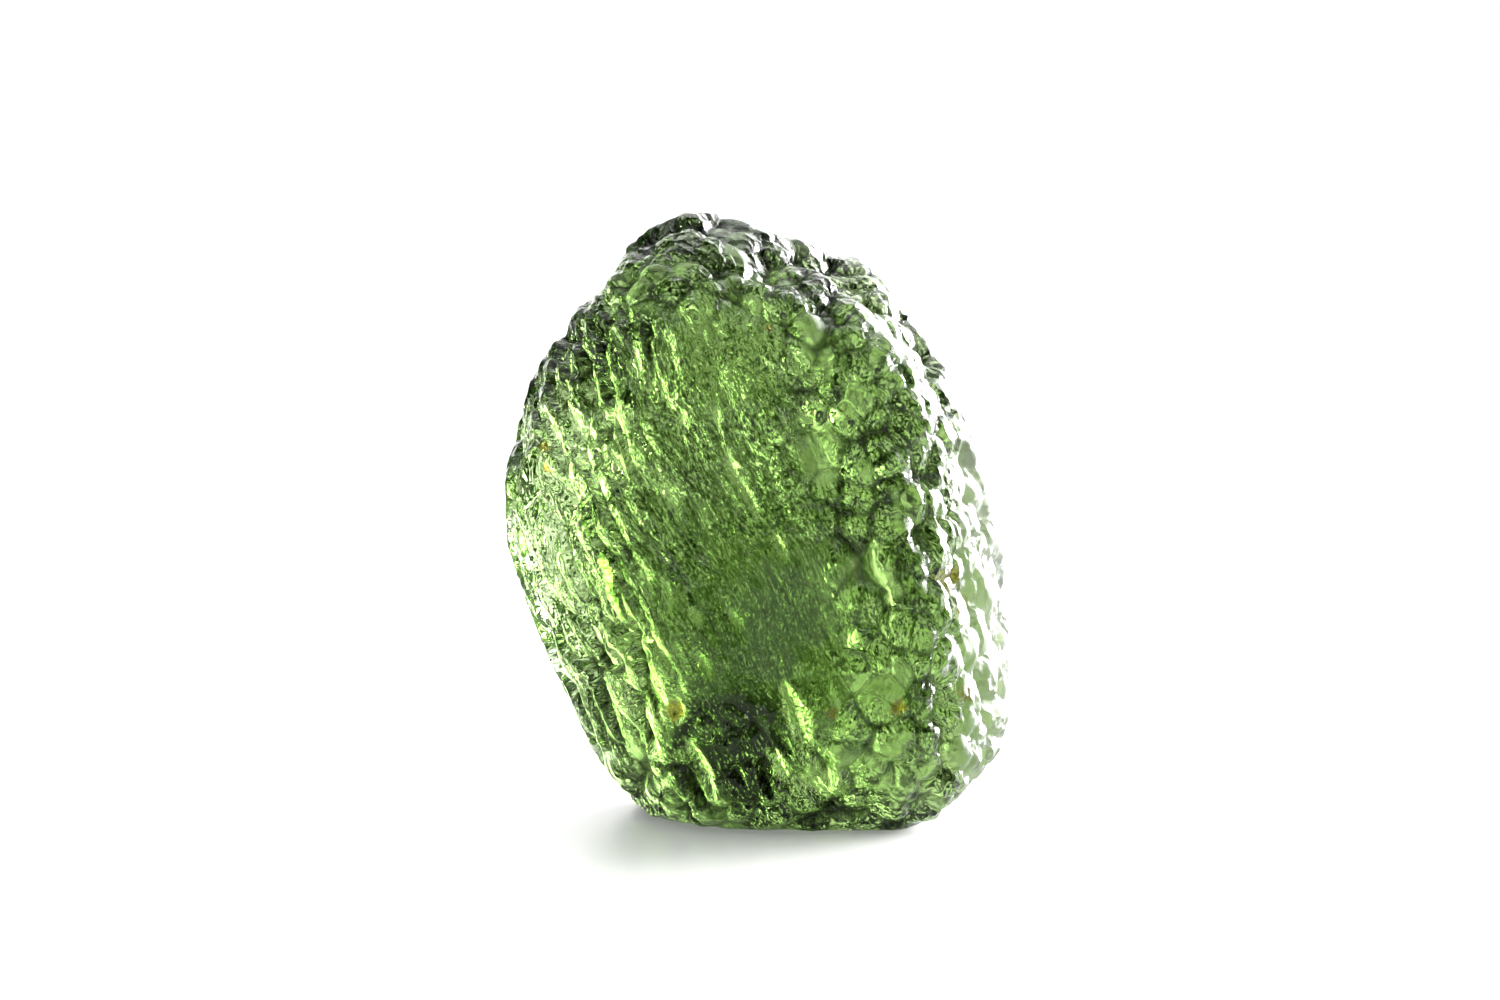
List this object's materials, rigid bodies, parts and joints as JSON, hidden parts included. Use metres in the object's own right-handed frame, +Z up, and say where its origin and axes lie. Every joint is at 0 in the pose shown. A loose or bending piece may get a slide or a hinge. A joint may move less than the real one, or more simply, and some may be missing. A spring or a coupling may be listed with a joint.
{
  "type": "moldavite",
  "caption": "Natural piece of green tektite glass with flow grooves and etched scoops, standing upright on a small worn flat spot.",
  "frame": {"origin": "under the middle of the bounding box, at the height of the flat spot that the stone stands on", "axes": "+Z up along the stone's length, -Y out of its broad grooved face, +X to the right for someone looking at that face"},
  "size_m": [0.0208, 0.0136, 0.025],
  "materials": {
    "moldavite_glass": "bottle-green natural glass, etched satin surface with bright ridges"
  },
  "bodies": {
    "root": {"moldavite": "moldavite_glass"}
  },
  "joints": []
}
